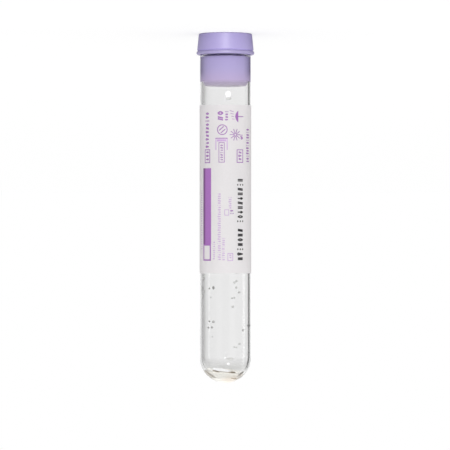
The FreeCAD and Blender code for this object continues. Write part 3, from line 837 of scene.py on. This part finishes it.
def roomNodes(tree, direction, ray):
    # How bright glass shows its surroundings in a direction, and the ray's share in that.
    # Straight through it shows the pale backdrop, darker to the left at the level of the tube.
    # After a bounce it shows the room, darker to both sides and in front, near eye level.
    smooth = {"interpolation_type": "SMOOTHSTEP"}
    heading = addNode(tree, "ShaderNodeSeparateXYZ", inputs={0: direction})
    toLeft = heading.outputs["X"]
    toRight = addNode(tree, "ShaderNodeMath", {"operation": "MULTIPLY"}, {0: toLeft, 1: -1.0})
    toRight = toRight.outputs[0]
    steep = addNode(tree, "ShaderNodeMath", {"operation": "ABSOLUTE"}, {0: heading.outputs["Z"]})
    steep = steep.outputs[0]
    shares = {}
    for name, value, low, high, atLow, atHigh in (
            ("leftSide", toLeft, studio["left"][0], studio["left"][1], 0.0, studio["left"][2]),
            ("rightSide", toRight, studio["right"][0], studio["right"][1], 0.0, studio["right"][2]),
            ("front", heading.outputs["Y"], 0.0, 0.4, 1.0, 0.0),
            ("nearLevel", steep, 0.25, 0.55, 1.0, 0.0),
            ("through", toLeft, studio["through"][0], studio["through"][1], 0.0, studio["through"][2]),
            ("notFarLeft", toLeft, 0.52, 0.7, 1.0, 0.0),
            ("level", steep, 0.09, 0.2, 1.0, 0.0),
            ("backdrop", toRight, -0.05, 0.25, *studio["backdrop"]),
            ("brighter", steep, 0.12, 0.35, 1.0, studio["steep"])):
        share = addNode(tree, "ShaderNodeMapRange", smooth, {
            "Value": value, "From Min": low, "From Max": high, "To Min": atLow, "To Max": atHigh})
        shares[name] = share.outputs[0]
    bounced = addNode(tree, "ShaderNodeMath", {"operation": "GREATER_THAN"},
                      {0: ray.outputs["Glossy Depth"], 1: 0.5})
    straight = addNode(tree, "ShaderNodeMath", {"operation": "SUBTRACT"},
                       {0: 1.0, 1: bounced.outputs[0]})
    for name in ("through", "notFarLeft", "level"):
        straight = addNode(tree, "ShaderNodeMath", {"operation": "MULTIPLY"},
                           {0: straight.outputs[0], 1: shares[name]})
    sides = addNode(tree, "ShaderNodeMath", {"operation": "MAXIMUM"},
                    {0: shares["leftSide"], 1: shares["rightSide"]})
    mirrored = addNode(tree, "ShaderNodeMath", {"operation": "MAXIMUM"},
                       {0: sides.outputs[0], 1: shares["front"]})
    for factor in (shares["nearLevel"], bounced.outputs[0]):
        mirrored = addNode(tree, "ShaderNodeMath", {"operation": "MULTIPLY"},
                           {0: mirrored.outputs[0], 1: factor})
    dark = addNode(tree, "ShaderNodeMath", {"operation": "MAXIMUM"},
                   {0: mirrored.outputs[0], 1: straight.outputs[0]})
    pale = addNode(tree, "ShaderNodeMath", {"operation": "MULTIPLY"},
                   {0: shares["backdrop"], 1: shares["brighter"]})
    shown = addNode(tree, "ShaderNodeMix", {"data_type": "FLOAT"},
                    {0: dark.outputs[0], 2: pale.outputs[0], 3: studio["room"]})
    inGlass = addNode(tree, "ShaderNodeMath", {"operation": "MAXIMUM"},
                      {0: ray.outputs["Is Transmission Ray"], 1: ray.outputs["Is Glossy Ray"]})
    return shown.outputs[0], inGlass.outputs[0]


# Pale matt floor: white to the camera but for the object's shadow; to soft light plain grey, and
# painted dark next to the stopper, a painted shade.
floorMaterial, tree = newMaterial("paleFloor")
ray = addNode(tree, "ShaderNodeLightPath")
shadowed = addNode(tree, "ShaderNodeBsdfDiffuse", inputs={"Color": (*[studio["floorSeen"]] * 3, 1)})
glow = addNode(tree, "ShaderNodeEmission", inputs={"Strength": studio["floorGlow"]})
seen = addNode(tree, "ShaderNodeAddShader", inputs={0: shadowed.outputs[0], 1: glow.outputs[0]})
spot = addNode(tree, "ShaderNodeNewGeometry")
outward = addNode(tree, "ShaderNodeVectorMath", {"operation": "NORMALIZE"},
                  {0: spot.outputs["Position"]})
shown, inGlass = roomNodes(tree, outward.outputs[0], ray)
reach = addNode(tree, "ShaderNodeVectorMath", {"operation": "LENGTH"}, {0: spot.outputs["Position"]})
near = addNode(tree, "ShaderNodeMapRange", {"interpolation_type": "SMOOTHSTEP"}, {
    "Value": reach.outputs["Value"], "From Min": 0.1, "From Max": 0.2,
    "To Min": studio["steep"], "To Max": 1.0})
outOfPaintedShade = addNode(tree, "ShaderNodeMapRange", {"interpolation_type": "SMOOTHSTEP"}, {
    "Value": reach.outputs["Value"], "From Min": studio["shade"][0], "From Max": studio["shade"][1]})
bounceWithPaintedShade = addNode(tree, "ShaderNodeMix", {"data_type": "RGBA"}, {
    0: outOfPaintedShade.outputs[0], 6: linear(studio["floorPaintedShade"]), 7: linear(studio["floor"])})
matt = addNode(tree, "ShaderNodeBsdfDiffuse", inputs={"Color": bounceWithPaintedShade.outputs[2]})
shown = addNode(tree, "ShaderNodeMath", {"operation": "MULTIPLY"}, {0: shown, 1: near.outputs[0]})
through = addNode(tree, "ShaderNodeEmission", inputs={"Strength": shown.outputs[0]})
first = addNode(tree, "ShaderNodeMixShader",
                inputs={0: ray.outputs["Is Camera Ray"], 1: matt.outputs[0], 2: seen.outputs[0]})
second = addNode(tree, "ShaderNodeMixShader",
                 inputs={0: inGlass, 1: first.outputs[0], 2: through.outputs[0]})
addNode(tree, "ShaderNodeOutputMaterial", inputs={"Surface": second.outputs[0]})
floorShape = bmesh.new()
bmesh.ops.create_grid(floorShape, x_segments=1, y_segments=1, size=4.0)
floor = closeMesh("floor", floorShape, floorMaterial)
floor.visible_shadow = False       # it hides no lamp below its level

world = bpy.data.worlds.new("studio")
bpy.context.scene.world = world
world.use_nodes = True
tree = world.node_tree
tree.nodes.clear()
ray = addNode(tree, "ShaderNodeLightPath")
place = addNode(tree, "ShaderNodeTexCoord")
shown, inGlass = roomNodes(tree, place.outputs["Generated"], ray)
light = addNode(tree, "ShaderNodeMix", {"data_type": "FLOAT"},
                {0: inGlass, 2: studio["ambient"], 3: shown})
strength = addNode(tree, "ShaderNodeMix", {"data_type": "FLOAT"},
                   {0: ray.outputs["Is Camera Ray"], 2: light.outputs[0], 3: 1.0})
back = addNode(tree, "ShaderNodeBackground",
               inputs={"Color": (1, 1, 1, 1), "Strength": strength.outputs[0]})
addNode(tree, "ShaderNodeOutputWorld", inputs={"Surface": back.outputs[0]})

middle = (cadBox[0].z + cadBox[1].z) / 2
# place and aim; for an area lamp its width, height and radiance
areaLamps = {
    "frontSoftbox": ((-0.5, -0.8, middle), (0, 0, middle), 0.5, 0.9, 0.34),
    "keyLamp": ((-0.01, -0.9, 0.03), (0, 0, 0.03), 0.12, 0.05, 60.0),
    # below the table's level, where it gives the head its highlight
    "lowLamp": ((-0.01, -0.8, -0.21), (0, 0, 0.003), 0.2, 0.1, 31.0),
    "sideStrip": ((-0.7, 0.06, middle), (0, 0, middle), 0.05, 0.8, 2.9),
}
# a narrow spot on the stopper's head
stopperSpot = {"place": (-0.04, -0.9, 0.001), "aim": (0, 0, 0.001), "energy": 9.5,
               "radius": 0.008, "cone": 1.9}


def addLamp(lamp, place, aim):
    # hangs a lamp where it looks at its aim and the camera doesn't see it
    holder = bpy.data.objects.new(lamp.name, lamp)
    bpy.context.scene.collection.objects.link(holder)
    holder.location = place
    holder.rotation_euler = (Vector(aim) - Vector(place)).to_track_quat("-Z", "Y").to_euler()
    holder.visible_camera = False


for name, (place, aim, width, height, radiance) in areaLamps.items():
    lamp = bpy.data.lights.new(name, "AREA")
    lamp.shape, lamp.size, lamp.size_y = "RECTANGLE", width, height
    lamp.energy = radiance * math.pi * width * height
    # so smooth glass doesn't mirror the low lamp, while the rubber keeps its gloss
    lamp.cycles.use_multiple_importance_sampling = name != "lowLamp"
    addLamp(lamp, place, aim)
lamp = bpy.data.lights.new("stopperSpot", "SPOT")
lamp.energy, lamp.shadow_soft_size = stopperSpot["energy"], stopperSpot["radius"]
lamp.spot_size, lamp.spot_blend = math.radians(stopperSpot["cone"]), 1.0
addLamp(lamp, stopperSpot["place"], stopperSpot["aim"])
print("studio lit")


# The camera is near the middle of the tube's height and turned over, so the stopper is at the top.

# field: the height that the square view takes in at the tube's axis
view = {"distance": 0.8, "field": 137.2 * mm, "height": 58.25 * mm, "side": 0.12 * mm}
sensor = 36
camera = bpy.data.objects.new("camera", bpy.data.cameras.new("camera"))
bpy.context.scene.collection.objects.link(camera)
camera.data.sensor_width = sensor
camera.data.lens = sensor * view["distance"] / view["field"]
camera.data.clip_start, camera.data.clip_end = 0.01, 20
camera.location = (view["side"], -view["distance"], view["height"])
upright = Vector((0, 1, 0)).to_track_quat("-Z", "Y")
camera.rotation_euler = (upright @ Quaternion((0, 0, 1), math.pi)).to_euler()
bpy.context.scene.camera = camera
bpy.context.scene.view_settings.view_transform = "Standard"
print("camera set")
